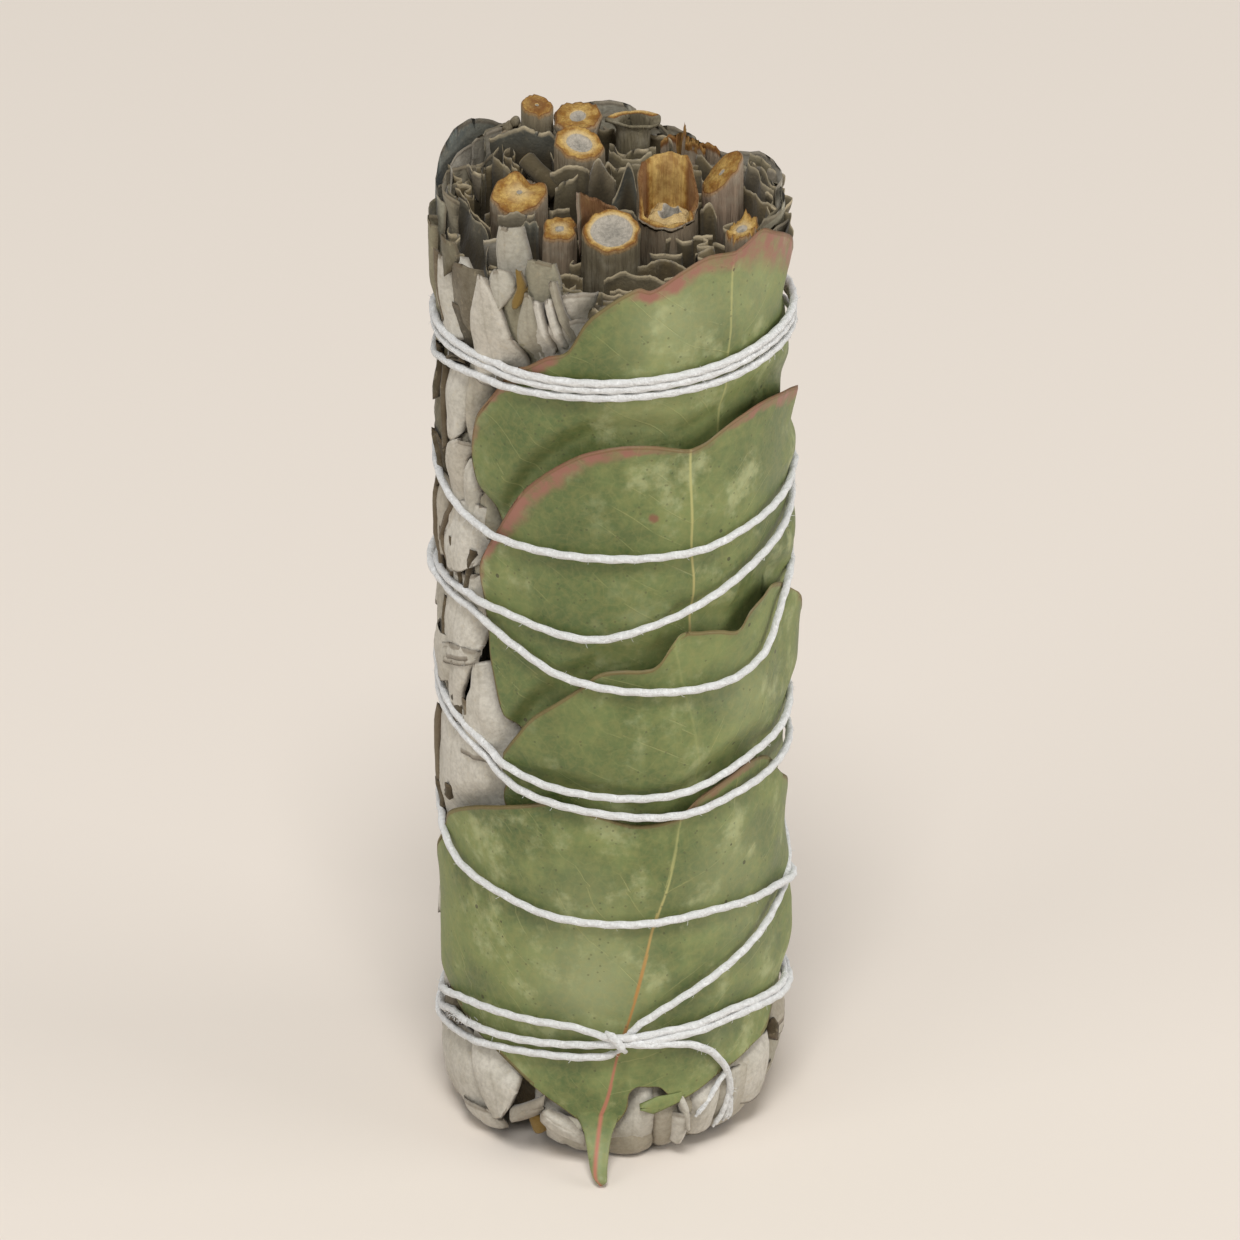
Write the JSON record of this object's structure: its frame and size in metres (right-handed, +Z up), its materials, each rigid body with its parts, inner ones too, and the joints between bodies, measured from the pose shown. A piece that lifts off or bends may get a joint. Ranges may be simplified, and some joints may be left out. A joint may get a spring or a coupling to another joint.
{
  "type": "sage bunch",
  "caption": "Upright tied bundle of dried sage sprigs with cut stems on top, wrapped in overlapping round eucalyptus leaves and wound with white cotton twine.",
  "frame": {"origin": "middle of the bunch's flat foot, on the surface it stands on", "axes": "+Z up along the bunch, -Y towards the front where the eucalyptus leaves and the knot are, +X to the right seen from the front"},
  "size_m": [0.0405, 0.0423, 0.1085],
  "materials": {
    "sage_leaf": "matte felted dried leaf, pale grey outside and darker grey-green on the cut top",
    "sage_stem": "matte bark with an orange-brown cut ring and pale pith",
    "eucalyptus_leaf": "satin mottled grey-green dried leaf with brown-red rims",
    "cotton_twine": "matte twisted undyed white cotton"
  },
  "bodies": {
    "root": {"sage_sprig_01_leaves": "sage_leaf", "sage_sprig_02_leaves": "sage_leaf", "sage_sprig_03_leaves": "sage_leaf", "sage_sprig_04_leaves": "sage_leaf", "sage_sprig_05_leaves": "sage_leaf", "sage_sprig_06_leaves": "sage_leaf", "sage_sprig_07_leaves": "sage_leaf", "sage_sprig_08_leaves": "sage_leaf", "sage_sprig_09_leaves": "sage_leaf", "sage_sprig_10_leaves": "sage_leaf", "sage_sprig_11_leaves": "sage_leaf", "sage_sprig_12_leaves": "sage_leaf", "sage_sprig_13_leaves": "sage_leaf", "sage_sprig_14_leaves": "sage_leaf", "sage_sprig_15_leaves": "sage_leaf", "sage_sprig_16_leaves": "sage_leaf", "sage_stem_01": "sage_stem", "sage_stem_02": "sage_stem", "sage_stem_03": "sage_stem", "sage_stem_04": "sage_stem", "sage_stem_05": "sage_stem", "sage_stem_06": "sage_stem", "sage_stem_07": "sage_stem", "sage_stem_08": "sage_stem", "sage_stem_09": "sage_stem", "sage_stem_10": "sage_stem", "sage_stem_11": "sage_stem", "sage_stem_12": "sage_stem", "eucalyptus_leaf_top": "eucalyptus_leaf", "eucalyptus_leaf_second": "eucalyptus_leaf", "eucalyptus_leaf_third": "eucalyptus_leaf", "eucalyptus_leaf_bottom": "eucalyptus_leaf", "twine": "cotton_twine"}
  },
  "joints": []
}
